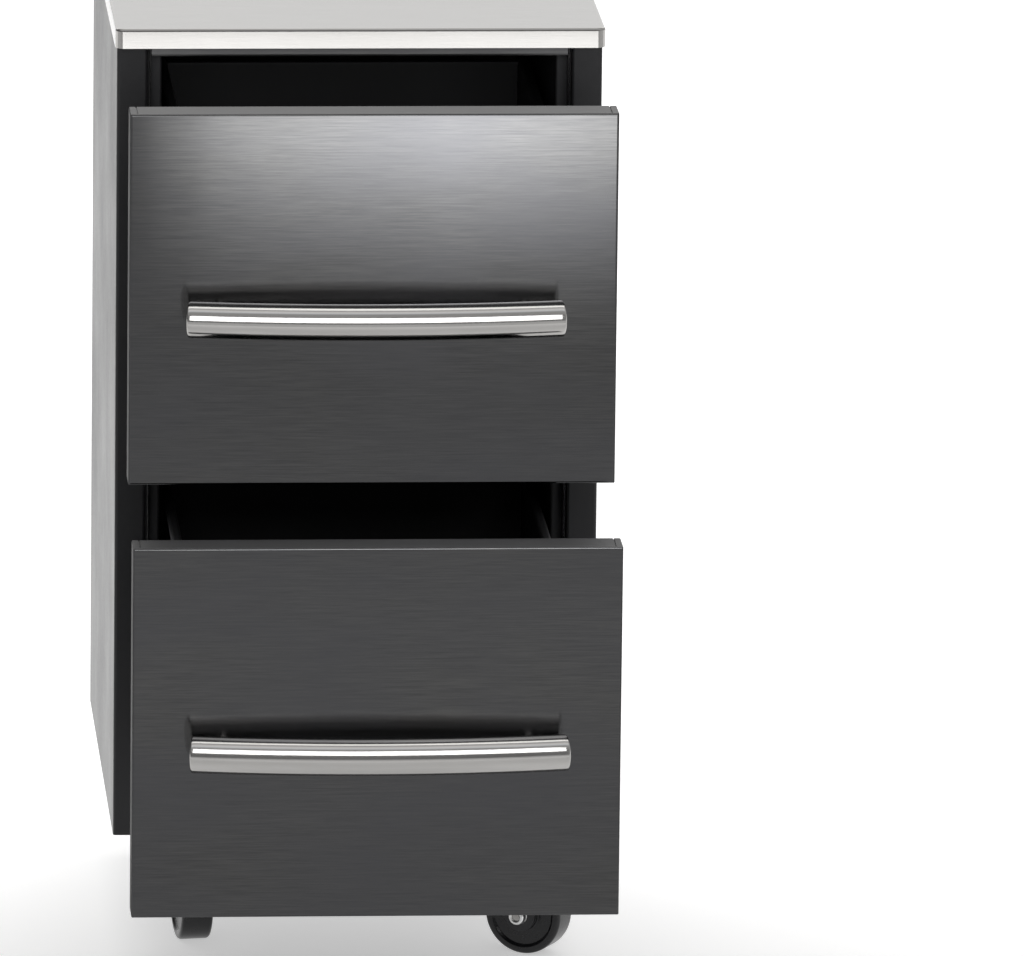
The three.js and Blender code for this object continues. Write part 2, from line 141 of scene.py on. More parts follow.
# Materials
class Tree:
    """A node tree, built node by node."""

    def __init__(self, tree):
        self.tree = tree

    def add(self, kind, **properties):
        made = self.tree.nodes.new(kind)
        for key, value in properties.items():
            setattr(made, key, value)
        return made

    def link(self, a, b):
        self.tree.links.new(a, b)

    def vector(self, operation, a, b):
        made = self.add("ShaderNodeVectorMath", operation=operation)
        for socket, value in zip(made.inputs, (a, b)):
            if isinstance(value, tuple):
                socket.default_value = value
            else:
                self.link(value, socket)
        return made.outputs["Vector"]

    def split(self, vector):
        """A vector's parts, by the names X, Y and Z."""
        made = self.add("ShaderNodeSeparateXYZ")
        self.link(vector, made.inputs["Vector"])
        return made.outputs

    def calc(self, a, b, operation="ADD"):
        made = self.add("ShaderNodeMath", operation=operation)
        for socket, value in zip(made.inputs, (a, b)):
            if isinstance(value, (int, float)):
                socket.default_value = value
            else:
                self.link(value, socket)
        return made.outputs["Value"]

    def spread(self, value, low, high, start=0.3, end=0.7, kind="LINEAR"):
        """Moves the range from start to end onto the range from low to high."""
        made = self.add("ShaderNodeMapRange", interpolation_type=kind)
        ends = {"From Min": start, "From Max": end, "To Min": low, "To Max": high}
        for key, number in ends.items():
            made.inputs[key].default_value = number
        self.link(value, made.inputs["Value"])
        return made.outputs["Result"]

    def mix(self, factor, a, b):
        made = self.add("ShaderNodeMix", data_type="RGBA")
        sockets = [s for s in made.inputs if s.type == "RGBA"]
        for socket, value in zip(sockets, (a, b)):
            if isinstance(value, tuple):
                socket.default_value = (*value, 1)
            else:
                self.link(value, socket)
        self.link(factor, made.inputs["Factor"])
        return [s for s in made.outputs if s.type == "RGBA"][0]

    def ramp(self, value, stops):
        """A colour ramp. Each stop is a place and a colour or a grey level."""
        made = self.add("ShaderNodeValToRGB")
        self.link(value, made.inputs["Fac"])
        elements = made.color_ramp.elements
        while len(elements) > 1:
            elements.remove(elements[-1])
        for i, (place, level) in enumerate(stops):
            stop = elements.new(place) if i else elements[0]
            stop.position = place
            stop.color = (*(level if isinstance(level, tuple) else (level,) * 3), 1)
        return made.outputs["Color"]


class Look(Tree):
    """One procedural material. Sockets of its shader are named with _ for a space."""

    def __init__(self, name, colour, metallic, roughness, **sockets):
        self.material = bpy.data.materials.new(name)
        self.material.use_nodes = True
        super().__init__(self.material.node_tree)
        self.shader = self.tree.nodes["Principled BSDF"]
        self.shader.inputs["Base Color"].default_value = (*colour, 1)
        self.shader.inputs["Metallic"].default_value = metallic
        self.shader.inputs["Roughness"].default_value = roughness
        for socket, value in sockets.items():
            self.shader.inputs[socket.replace("_", " ")].default_value = value
        self.coordinates = self.add("ShaderNodeTexCoord").outputs["Object"]

    def noise(self, grains, detail, roughness):
        """Noise with so many grains per metre along each axis."""
        made = self.add("ShaderNodeTexNoise")
        made.inputs["Scale"].default_value = 1
        made.inputs["Detail"].default_value = detail
        made.inputs["Roughness"].default_value = roughness
        self.link(self.vector("MULTIPLY", self.coordinates, grains), made.inputs["Vector"])
        return made.outputs["Fac"]

    def colour(self, value):
        self.link(value, self.shader.inputs["Base Color"])

    def roughness(self, value):
        self.link(value, self.shader.inputs["Roughness"])

    def bump(self, height, distance):
        made = self.add("ShaderNodeBump")
        made.inputs["Strength"].default_value = 1.0
        made.inputs["Distance"].default_value = distance
        self.link(height, made.inputs["Height"])
        self.link(made.outputs["Normal"], self.shader.inputs["Normal"])

    def grain_along(self, direction, amount):
        """Highlights stretch across the brushing, which runs along direction."""
        self.shader.inputs["Anisotropic"].default_value = amount
        normal = self.add("ShaderNodeNewGeometry").outputs["Normal"]
        across = self.vector("CROSS_PRODUCT", normal, direction)
        # never quite zero, also where a surface faces along the brushing
        self.link(self.vector("ADD", across, (0, 0, 0.001)), self.shader.inputs["Tangent"])


# grains per metre along X, Y and Z
LINES = (22.0, 420.0, 800.0)
TUBE_LINES = (9.0, 160.0, 160.0)
FINE_LINES = (70.0, 1500.0, 2300.0)
SHEET_CLOUDS = (7.0, 9.0, 13.0)
DRAWING_MARKS = (700.0, 14.0, 900.0)


def brushed(name, dark, light, rough, anisotropy, line=LINES, cool=None, edge=1.0):
    """Sheet brushed along X: short fine lines in tone, gloss and height, and faint clouds.

    edge is the share of the tint that reflections keep at a grazing angle.
    """
    look = Look(name, light, 1.0, rough, Specular_Tint=(edge, edge, edge, 1))
    lines = look.noise(line, 3, 0.6)
    fine = look.noise(FINE_LINES, 2, 0.6)
    broad = look.noise(SHEET_CLOUDS, 2, 0.5)
    tone = look.calc(look.spread(lines, 0.0, 0.65), look.spread(fine, 0.0, 0.35))
    metal = look.mix(tone, dark, light)
    if cool:
        metal = look.mix(look.spread(broad, 0, 0.6), metal, cool)
    look.colour(metal)
    lined = look.spread(lines, rough * 0.95, rough * 1.05)
    look.roughness(look.calc(lined, look.spread(broad, -0.012, 0.012)))
    look.bump(look.calc(lines, look.calc(fine, 0.5, "MULTIPLY")), FINE)
    look.grain_along((1, 0, 0), anisotropy)
    return look.material


def even(grains):
    """The same number of grains per metre on every axis."""
    return (grains, grains, grains)


def powder_coat(name, dark, light, rough, coat):
    """Powder coat: an orange-peel surface, faint clouds and a little dust."""
    look = Look(name, light, 0.35, rough, Coat_Weight=coat, Coat_Roughness=0.3)
    peel = look.noise(even(900.0), 2, 0.5)
    cloud = look.noise(even(6.0), 3, 0.6)
    dust = look.noise(even(240.0), 4, 0.7)
    tone = look.calc(look.spread(cloud, 0, 0.7), look.spread(dust, 0, 0.3))
    look.colour(look.mix(tone, dark, light))
    clouded = look.spread(cloud, rough - 0.05, rough + 0.05)
    look.roughness(look.calc(clouded, look.spread(dust, -0.03, 0.03)))
    look.bump(peel, 0.05 * MM)
    return look.material


def plated(name, dark, light, rough, warm):
    """Zinc plate: clouded tone, a faint yellow cast in places and drawing marks."""
    look = Look(name, light, 1.0, rough)
    cloud = look.noise(even(38.0), 3, 0.6)
    drawn = look.noise(DRAWING_MARKS, 2, 0.6)
    tone = look.mix(look.spread(cloud, 0, 1), dark, light)
    look.colour(look.mix(look.spread(look.noise(even(17.0), 2, 0.5), 0, 0.6), tone, warm))
    clouded = look.spread(cloud, rough - 0.05, rough + 0.07)
    look.roughness(look.calc(clouded, look.spread(drawn, -0.03, 0.03)))
    look.bump(drawn, 0.04 * MM)
    return look.material


def moulded(name, dark, light, rough):
    """Moulded nylon: faint clouds and fine scuffs."""
    look = Look(name, light, 0.0, rough, Specular_IOR_Level=0.5)
    cloud = look.noise(even(90.0), 3, 0.6)
    scuff = look.noise(even(1200.0), 3, 0.7)
    look.colour(look.mix(look.spread(cloud, 0, 1), dark, light))
    clouded = look.spread(cloud, rough - 0.04, rough + 0.08)
    look.roughness(look.calc(clouded, look.spread(scuff, -0.03, 0.04)))
    look.bump(scuff, 0.03 * MM)
    return look.material


# colours: the dark and the light of a material's tone, and the cast it takes in places
DARK, PALE, COOL = (0.070, 0.070, 0.072), (0.114, 0.114, 0.113), (0.088, 0.089, 0.096)
YELLOWED = (0.88, 0.87, 0.84)
BLACK_STEEL = brushed("black_steel", DARK, PALE, 0.14, 0.78, cool=COOL, edge=0.55)
# copies for the front skins' faces, chosen by the way a face points: the sides keep little
# reflection at a grazing angle, a painted shade, and the upward faces take a lighter tone, a
# painted light
SHADED_SIDE_STEEL = brushed("black_steel_sides", DARK, PALE, 0.3, 0.0, cool=COOL, edge=0.12)
LIT_TOP_STEEL = brushed("black_steel_tops", (0.095, 0.095, 0.097), (0.14, 0.14, 0.14), 0.5, 0.3)
RAIL_STEEL = brushed("rail_steel", (0.13, 0.13, 0.135), (0.19, 0.19, 0.19), 0.5, 0.3)
EDGE_STEEL = brushed("edge_steel", (0.20, 0.20, 0.205), (0.30, 0.30, 0.30), 0.22, 0.0)
STAINLESS = brushed("stainless", (0.52, 0.51, 0.495), (0.59, 0.58, 0.565), 0.13, 0.5)
TUBE = brushed("stainless_tube", (0.54, 0.53, 0.515), (0.59, 0.58, 0.57), 0.12, 0.3, TUBE_LINES)
PAINT = powder_coat("painted_sheet", (0.030, 0.030, 0.032), (0.040, 0.040, 0.043), 0.42, 0.15)
# a darker copy of the powder coat for the side panels: painted shade on the stiles beside the
# openings
SHADED_PANEL_PAINT = powder_coat("painted_panel", (0.016, 0.016, 0.018), (0.023, 0.023, 0.025), 0.36, 0.1)
BOX_PAINT = powder_coat("painted_box", (0.014, 0.014, 0.016), (0.021, 0.021, 0.023), 0.5, 0.0)
ZINC = plated("zinc", (0.50, 0.51, 0.53), (0.64, 0.645, 0.65), 0.26, (0.62, 0.60, 0.53))
BRIGHT_ZINC = plated("bright_zinc", (0.82, 0.83, 0.85), (0.93, 0.935, 0.94), 0.3, YELLOWED)
SCREW = plated("screw_steel", (0.34, 0.34, 0.35), (0.48, 0.48, 0.49), 0.3, (0.46, 0.44, 0.40))
NYLON = moulded("nylon", (0.010, 0.010, 0.012), (0.016, 0.016, 0.018), 0.2)


# Shapes
def piece(name, mesh, material, replaced, body=None, smooth=SHARP, flats=True):
    """An object from a bmesh. It rides on a body and stands for the nodes in replaced."""
    bmesh.ops.recalc_face_normals(mesh, faces=mesh.faces)
    data = bpy.data.meshes.new(name)
    mesh.to_mesh(data)
    mesh.free()
    data.shade_smooth()
    data.set_sharp_from_angle(angle=math.radians(smooth))
    made = bpy.data.objects.new(name, data)
    scene.collection.objects.link(made)
    data.materials.append(material)
    if flats:
        level = made.modifiers.new("level_flats", "WEIGHTED_NORMAL")
        level.keep_sharp = True
    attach(made, body or BODY[replaced[0]])
    if replaced:
        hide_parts(*replaced)
    return made


# half the angle between two lines that hardly bend, in radians, the part of a short line that
# a fillet may take, and a length that counts as none
NEARLY_STRAIGHT = 1.55
FILLET_ROOM = 0.49
TINY = 1e-9


def fillet(points, radius, steps):
    """The open line through points, with every corner rounded."""
    points = [Vector(p) for p in points]
    line = [points[0]]
    for a, b, c in zip(points, points[1:], points[2:]):
        u, v = (a - b), (c - b)
        room = FILLET_ROOM * min(u.length, v.length)
        u.normalize()
        v.normalize()
        half = u.angle(v) / 2
        if half > NEARLY_STRAIGHT:
            line.append(b)
            continue
        cut = min(radius / math.tan(half), room)
        r = cut * math.tan(half)
        centre = b + (u + v).normalized() * (r / math.sin(half))
        start = math.atan2(*(b + u * cut - centre).yx)
        end = math.atan2(*(b + v * cut - centre).yx)
        sweep = (end - start + math.pi) % (2 * math.pi) - math.pi
        for i in range(steps + 1):
            t = start + sweep * i / steps
            line.append(centre + Vector((math.cos(t), math.sin(t))) * r)
    line.append(points[-1])
    return line


def offset(line, distance):
    """The line moved to its left by distance."""
    moved = []
    for i, p in enumerate(line):
        before = (p - line[i - 1]).normalized() if i else None
        after = (line[i + 1] - p).normalized() if i + 1 < len(line) else None
        along = ((before or after) + (after or before)).normalized()
        normal = Vector((-along.y, along.x))
        share = normal.dot(Vector((-(after or before).y, (after or before).x)))
        moved.append(p + normal * (distance / max(share, 0.3)))
    return moved


PLACE = {
    "x": lambda u, v, w: (w, u, v),
    "y": lambda u, v, w: (u, w, v),
    "z": lambda u, v, w: (u, v, w),
}


def prism(mesh, outline, axis, start, end, edge=0.0):
    """The closed outline drawn along an axis. edge eases the rims of both ends."""
    place = PLACE[axis]
    if edge:
        levels = [(start, edge), (start + edge, 0), (end - edge, 0), (end, edge)]
    else:
        levels = [(start, 0), (end, 0)]
    rings = []
    for w, inset in levels:
        points = offset_closed(outline, inset) if inset else outline
        rings.append([mesh.verts.new(place(p.x, p.y, w)) for p in points])
    count = len(outline)
    for low, high in zip(rings, rings[1:]):
        for i in range(count):
            j = (i + 1) % count
            mesh.faces.new((low[i], low[j], high[j], high[i]))
    mesh.faces.new(rings[0][::-1])
    mesh.faces.new(rings[-1])
    return mesh


def offset_closed(outline, inset):
    """A closed outline drawn in by inset, whichever way round it runs."""
    area = sum(p.x * q.y - q.x * p.y for p, q in zip(outline, outline[1:] + outline[:1]))
    sign = 1 if area > 0 else -1
    count = len(outline)
    drawn = []
    for i in range(count):
        a, b, c = outline[i - 1], outline[i], outline[(i + 1) % count]
        u, v = (b - a).normalized(), (c - b).normalized()
        n = Vector((-u.y - v.y, u.x + v.x))
        if n.length < TINY:
            n = Vector((-u.y, u.x))
        n.normalize()
        share = max(n.dot(Vector((-v.y, v.x))), 0.5)
        drawn.append(b + n * (sign * inset / share))
    return drawn


def folded(mesh, line, thickness, axis, start, end, radius=FOLD, steps=5):
    """A folded sheet. line runs along its outer face and the sheet lies to the line's left."""
    outer = fillet(line, radius, steps)
    inner = offset(outer, thickness)
    return prism(mesh, outer + inner[::-1], axis, start, end, CUT_EDGE)


def plain_block(mesh, low, high):
    """The corners of a block between two points, added to a mesh with its faces."""
    made = bmesh.ops.create_cube(mesh, size=1)["verts"]
    low, high = Vector(low), Vector(high)
    for v in made:
        v.co = low + Vector([(c + 0.5) * s for c, s in zip(v.co, high - low)])
    return made


def block(mesh, low, high, edge=0.25 * MM, segments=2):
    """A block with eased edges."""
    made = plain_block(mesh, low, high)
    edges = list({e for v in made for e in v.link_edges})
    bmesh.ops.bevel(mesh, geom=edges, offset=edge, segments=segments, affect="EDGES", profile=0.5)
    return mesh


def lathe(mesh, profile, segments, centre, axis, closed=False):
    """A turned shape: profile holds (radius, height along axis)."""
    axis = Vector(axis).normalized()
    side = axis.orthogonal().normalized()
    third = axis.cross(side)
    rings = []
    for r, h in profile:
        if r < TINY:
            rings.append([mesh.verts.new(Vector(centre) + axis * h)])
            continue
        ring = []
        for i in range(segments):
            t = 2 * math.pi * i / segments
            out = side * math.cos(t) + third * math.sin(t)
            ring.append(mesh.verts.new(Vector(centre) + axis * h + out * r))
        rings.append(ring)
    following = rings[1:] + rings[:1] if closed else rings[1:]
    for a, b in zip(rings, following):
        if len(a) == 1 and len(b) == 1:
            continue
        for i in range(segments):
            j = (i + 1) % segments
            if len(a) == 1:
                mesh.faces.new((a[0], b[i], b[j]))
            elif len(b) == 1:
                mesh.faces.new((a[i], b[0], a[j]))
            else:
                mesh.faces.new((a[i], b[i], b[j], a[j]))
    if not closed:
        for ring in (rings[0], rings[-1]):
            if len(ring) > 1:
                mesh.faces.new(ring)
    return mesh


def pan_head(mesh, centre, outward, radius, height=1.9 * MM):
    """A pan head screw with a round recess, standing on its washer."""
    outward = Vector(outward).normalized()
    washer, lower, upper = radius * 1.5, 0.5 * MM, 0.7 * MM
    disc = [(0, 0), (washer, 0), (washer, lower), (radius * 1.42, upper), (0, upper)]
    lathe(mesh, disc, 28, centre, outward)
    dome = [(0, lower), (radius, lower), (radius, height * 0.55)]
    for i in range(1, 6):
        t = math.pi / 2 * i / 6
        dome.append((radius * math.cos(t * 0.82), height * (0.55 + 0.45 * math.sin(t))))
    dome.append((radius * 0.5, height * 1.0))
    dome += [(radius * 0.46, height * 0.98), (radius * 0.2, height * 0.45), (0, height * 0.4)]
    lathe(mesh, dome, 28, centre, outward)
    return mesh


def rounded_rectangle(u0, u1, v0, v1, radius):
    """The points of a rectangle with rounded corners."""
    steps = 3
    points = []
    corners = ((u1, v0, -1, 1, -90), (u1, v1, -1, -1, 0), (u0, v1, 1, -1, 90), (u0, v0, 1, 1, 180))
    for u, v, du, dv, start in corners:
        for i in range(steps + 1):
            t = math.radians(start + 90 * i / steps)
            across = u + du * radius + radius * math.cos(t)
            points.append((across, v + dv * radius + radius * math.sin(t)))
    return points


def shell(mesh, low, high, opened, thickness, fold, corner=0.8 * MM, steps=5):
    """A pressed pan with rounded folds, open towards one side such as "+y"."""
    axis = "xyz".index(opened[1])
    across, along = [i for i in range(3) if i != axis]
    rim, face, into = (high, low, 1) if opened[0] == "+" else (low, high, -1)
    depth = abs(rim[axis] - face[axis])
    ease, least = 0.15 * MM, 0.2 * MM

    def ring(level, inset):
        radius = max(corner - inset, least)
        sides = [edge for i in (across, along) for edge in (low[i] + inset, high[i] - inset)]
        made = []
        for u, v in rounded_rectangle(*sides, radius):
            place = [0, 0, 0]
            place[axis], place[across], place[along] = face[axis] + into * level, u, v
            made.append(mesh.verts.new(place))
        return made

    levels = [(depth, ease), (depth - ease, 0)]
    inner_fold = max(fold - thickness, least)
    inside = [(depth, thickness - ease), (depth - ease, thickness)]
    for i in range(steps + 1):
        t = math.pi / 2 * i / steps
        down, into_sheet = 1 - math.sin(t), 1 - math.cos(t)
        levels.append((fold * down, fold * into_sheet))
        inside.append((thickness + inner_fold * down, thickness + inner_fold * into_sheet))
    outer = [ring(*level) for level in levels]
    inner = [ring(*level) for level in inside]
    loops = outer[::-1] + inner
    count = len(loops[0])
    for a, b in zip(loops, loops[1:]):
        for i in range(count):
            j = (i + 1) % count
            mesh.faces.new((a[i], a[j], b[j], b[i]))
    mesh.faces.new(loops[0])
    mesh.faces.new(loops[-1])
    return mesh


def cut_away(target, cutters):
    """Takes the cutters' blocks out of an object's mesh for good."""
    data = bpy.data.meshes.new("cutter")
    tool_mesh = bmesh.new()
    for low, high in cutters:
        plain_block(tool_mesh, low, high)
    tool_mesh.to_mesh(data)
    tool_mesh.free()
    tool = bpy.data.objects.new("cutter", data)
    scene.collection.objects.link(tool)
    modifier = target.modifiers.new("seams", "BOOLEAN")
    modifier.operation = "DIFFERENCE"
    modifier.solver = "EXACT"
    modifier.object = tool
    bpy.context.view_layer.update()
    graph = bpy.context.evaluated_depsgraph_get()
    result = bpy.data.meshes.new_from_object(target.evaluated_get(graph))
    target.modifiers.remove(modifier)
    old = target.data
    target.data = result
    bpy.data.meshes.remove(old)
    bpy.data.objects.remove(tool)
    bpy.data.meshes.remove(data)
    target.data.set_sharp_from_angle(angle=math.radians(SHARP))


def ease_cad(node, material, width, segments):
    """Keeps a CAD node, with its edges eased by modifiers and its own material."""
    kept = nodes[node]
    kept.data.materials.clear()
    kept.data.materials.append(material)
    weld = kept.modifiers.new("weld", "WELD")
    weld.merge_threshold = 0.01 * MM
    bevel = kept.modifiers.new("eased", "BEVEL")
    bevel.width = width
    bevel.segments = segments
    bevel.limit_method = "ANGLE"
    bevel.angle_limit = math.radians(40)
    bevel.use_clamp_overlap = True
    kept.modifiers.new("normals", "WEIGHTED_NORMAL")


# Cabinet
def side_panel(side, word):
    """The folded side sheet, the return plate beside the opening, the foot flange and screws."""
    stile_return, rear_flange, foot_flange = 9 * MM, 16 * MM, 20 * MM
    plate, plate_return, nose = 1.5 * MM, 14 * MM, 0.8 * MM
    web_start, web_end = 7 * MM, 8.4 * MM
    foot_start, foot_back, foot_gap = 14.3 * MM, 3.6 * MM, 1.2 * MM
    node = f"side_panel_{word}"
    low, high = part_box(node)
    outer = side * max(abs(low.x), abs(high.x))
    stile = side * min(abs(low.x), abs(high.x))
    rear = outer - side * rear_flange
    front, back = low.y, high.y
    seam = stile + side * 3.0 * MM
    mesh = bmesh.new()
    line = [(seam, front + stile_return), (seam, front), (outer, front)]
    line += [(outer, back), (rear, back)]
    if side < 0:
        line = line[::-1]
    # the sheet lies to the left of this line, which is inside the panel
    folded(mesh, line, SHEET, "z", low.z, high.z, 2.6 * MM, 6)
    # the return plate beside the opening, with a rounded front edge
    behind = stile + side * plate
    edge = [(stile, front + plate_return), (stile, front + nose), (stile + side * nose, front)]
    edge += [(behind, front + nose), (behind, front + plate_return)]
    prism(mesh, [Vector(p) for p in edge], "z", low.z, high.z)
    web = sorted((seam, behind))
    block(mesh, (web[0], front + web_start, low.z), (web[1], front + web_end, high.z), 0.1 * MM, 1)
    foot = sorted((outer - side * foot_flange, outer - side * foot_gap))
    block(mesh, (foot[0], front + foot_start, low.z), (foot[1], back - foot_back, low.z + SHEET))
    # the side sheet takes the darker paint, a painted shade on its stile
    made = piece(f"{node}_folded", mesh, SHADED_PANEL_PAINT, [node])
    # the bare metal of the return plate's front edge
    reach = 0.05 * MM
    made.data.materials.append(EDGE_STEEL)
    for face in made.data.polygons:
        if abs(face.center.x) < abs(stile) + plate + reach and face.center.y < front + 1.2 * MM:
            face.material_index = 1
    mesh = bmesh.new()
    for share in (0.1, 0.5, 0.9):
        z = low.z + (high.z - low.z) * share
        pan_head(mesh, (outer - side * rear_flange / 2, back, z), (0, 1, 0), 2.8 * MM)
    piece(f"{node}_screws", mesh, SCREW, [], BODY[node])


for side, word in SIDES:
    side_panel(side, word)


def inner_wall(side, word):
    """A channel whose web carries the runners."""
    node = f"inner_wall_{word}"
    low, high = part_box(node)
    face = side * min(abs(low.x), abs(high.x))
    reach = side * max(abs(low.x), abs(high.x))
    line = [(reach, low.y), (face, low.y), (face, high.y), (reach, high.y)]
    if side > 0:
        line = line[::-1]
    mesh = folded(bmesh.new(), line, THIN, "z", low.z, high.z)
    piece(f"{node}_folded", mesh, BOX_PAINT, [node])


for side, word in SIDES:
    inner_wall(side, word)


def rail(node, material, lower, upper):
    """A rail across the front, folded back along its lower or upper edge or both."""
    low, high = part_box(node)
    line = [(low.y, low.z), (low.y, high.z)]
    if lower:
        line.insert(0, (high.y, low.z))
    if upper:
        line.append((high.y, high.z))
    # the line runs up the front face with the sheet to its right, so it is turned round
    mesh = folded(bmesh.new(), line[::-1], SHEET, "x", low.x, high.x)
    piece(f"{node}_folded", mesh, material, [node])


rail("bottom_rail", BLACK_STEEL, False, True)
rail("middle_rail", BLACK_STEEL, True, True)
rail("top_rail", RAIL_STEEL, True, True)

low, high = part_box("floor_pan")
line = [(low.y, low.z), (high.y, low.z), (high.y, high.z)]
mesh = folded(bmesh.new(), line, SHEET, "x", low.x, high.x)
piece("floor_pan_folded", mesh, PAINT, ["floor_pan"])

low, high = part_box("back_panel")
line = [(high.x, low.y), (high.x, high.y), (low.x, high.y), (low.x, low.y)]
mesh = folded(bmesh.new(), line, SHEET, "z", low.z, high.z)
piece("back_panel_folded", mesh, PAINT, ["back_panel"])


def top_sheet():
    """The stainless top, with its lips folded down and two rounded front corners."""
    low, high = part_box("top_sheet")
    corner, corner_steps, fold = 8 * MM, 8, 2.6 * MM
    lean, lean_depth, trim = 1.6 * MM, 12 * MM, 1.6 * MM
    mesh = bmesh.new()
    outline = []
    for x, sign in ((high.x, 1), (low.x, -1)):
        arc = []
        for i in range(corner_steps + 1):
            t = math.pi / 2 * i / corner_steps
            arc.append((x - sign * corner * (1 - math.cos(t)), low.y + corner * (1 - math.sin(t))))
        outline += arc if sign > 0 else arc[::-1]
    outline = [(high.x, high.y), *outline, (low.x, high.y)]
    bottom = [mesh.verts.new((x, y, low.z + trim)) for x, y in outline]
    top = [mesh.verts.new((x, y, high.z)) for x, y in outline]
    count = len(outline)
    for i in range(count):
        j = (i + 1) % count
        mesh.faces.new((bottom[i], bottom[j], top[j], top[i]))
    lid = mesh.faces.new(top)
    bmesh.ops.recalc_face_normals(mesh, faces=mesh.faces)
    rim = list(lid.edges)
    bmesh.ops.bevel(mesh, geom=rim, offset=fold, segments=5, affect="EDGES", profile=0.5)
    bmesh.ops.recalc_face_normals(mesh, faces=mesh.faces)
    # the front lip leans out a little towards its lower edge
    for v in mesh.verts:
        share = max(0, 1 - (v.co.y - low.y) / lean_depth)
        v.co.y += share * lean * (v.co.z - low.z) / (high.z - low.z)
    bmesh.ops.solidify(mesh, geom=list(mesh.faces), thickness=SHEET)
    piece("top_sheet_folded", mesh, STAINLESS, ["top_sheet"])


top_sheet()


def base_rail(word):
    """A hat channel that carries two casters."""
    node = f"base_rail_{word}"
    low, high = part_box(node)
    flange, step = 12 * MM, 1.8 * MM
    line = [(low.x, high.z - step), (low.x + flange, high.z - step), (low.x + flange, low.z)]
    line += [(high.x - flange, low.z), (high.x - flange, high.z - step), (high.x, high.z - step)]
    mesh = folded(bmesh.new(), line, step, "y", low.y, high.y, 2.8 * MM)
    piece(f"{node}_folded", mesh, PAINT, [node])


for _, word in SIDES:
    base_rail(word)


# Drawers
def front_skin(drawer):
    """The folded outer skin of a front, with the seams of its corner folds."""
    node = f"{drawer}_front_skin"
    low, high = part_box(node)
    mesh = shell(bmesh.new(), low, high, "+y", SHEET, fold=1.9 * MM, corner=0.9 * MM)
    made = piece(f"{node}_folded", mesh, BLACK_STEEL, [node])
    seam, width, depth, start = 5.4 * MM, 1.1 * MM, 0.9 * MM, 2.2 * MM
    cutters = []
    for z, inward in ((high.z, -1), (low.z, 1)):
        z0, z1 = sorted((z + inward * depth, z - inward * depth))
        for x, sign in ((low.x, 1), (high.x, -1)):
            x0, x1 = sorted((x + sign * seam, x + sign * (seam + width)))
            cutters.append(((x0, low.y + start, z0), (x1, high.y + MM, z1)))
    cut_away(made, cutters)
    # the skin's sides and upper edge have a duller brushing; picked by the way a face points, the
    # sides also take a painted shade and the upper edge a painted light
    sideways, upwards = 0.6, 0.8
    for material in (SHADED_SIDE_STEEL, LIT_TOP_STEEL):
        made.data.materials.append(material)
    for face in made.data.polygons:
        if abs(face.normal.x) > sideways:
            face.material_index = 1
        elif face.normal.z > upwards:
            face.material_index = 2


def front_liner(drawer):
    """The pan that closes a front's back."""
    node = f"{drawer}_front_liner"
    low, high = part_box(node)
    mesh = shell(bmesh.new(), low, high, "-y", THIN, fold=1.6 * MM, steps=3)
    piece(f"{node}_folded", mesh, BOX_PAINT, [node])


def drawer_box(drawer):
    """Two hemmed sides, a pressed floor and a hemmed back."""
    side_hem, back_hem, hem_drop, bend = 5.5 * MM, 6 * MM, 3.4 * MM, 1.4 * MM
    for side, word in SIDES:
        node = f"{drawer}_box_{word}"
        low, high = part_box(node)
        hem = side * max(abs(low.x), abs(high.x))
        face = side * (max(abs(low.x), abs(high.x)) - side_hem)
        line = [(face, low.z), (face, high.z), (hem, high.z), (hem, high.z - hem_drop)]
        mesh = bmesh.new()
        outer = fillet(line, bend, 4)
        thick = offset(outer, SHEET if side > 0 else -SHEET)
        prism(mesh, outer + thick[::-1], "y", low.y, high.y, CUT_EDGE)
        piece(f"{node}_hemmed", mesh, BOX_PAINT, [node])
    node = f"{drawer}_box_floor"
    low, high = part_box(node)
    mesh = shell(bmesh.new(), low, high, "+z", THIN, fold=2.0 * MM, corner=1.2 * MM, steps=4)
    piece(f"{node}_pressed", mesh, BOX_PAINT, [node])
    node = f"{drawer}_box_back"
    low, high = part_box(node)
    inner = high.y - back_hem
    line = [(high.y, low.z), (high.y, high.z), (inner, high.z), (inner, high.z - hem_drop)]
    mesh = folded(bmesh.new(), line, SHEET, "x", low.x, high.x, bend, 4)
    piece(f"{node}_hemmed", mesh, BOX_PAINT, [node])


def bow_line(node, radius, steps):
    """The bowed tube's centre line, from the box of its CAD node."""
    low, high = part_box(node)
    height = (low.z + high.z) / 2
    bow = high.y - low.y - 2 * radius
    half = (high.x - low.x) / 2
    lean = math.atan(2 * bow / half)
    half -= radius * math.sin(lean)
    end_y = high.y - radius * math.cos(lean)
    control = 2 * (low.y + radius) - end_y
    line = []
    for i in range(steps + 1):
        t = i / steps
        x = half * (2 * t - 1)
        y = (1 - t) ** 2 * end_y + 2 * t * (1 - t) * control + t * t * end_y
        line.append(Vector((x, y, height)))
    return line


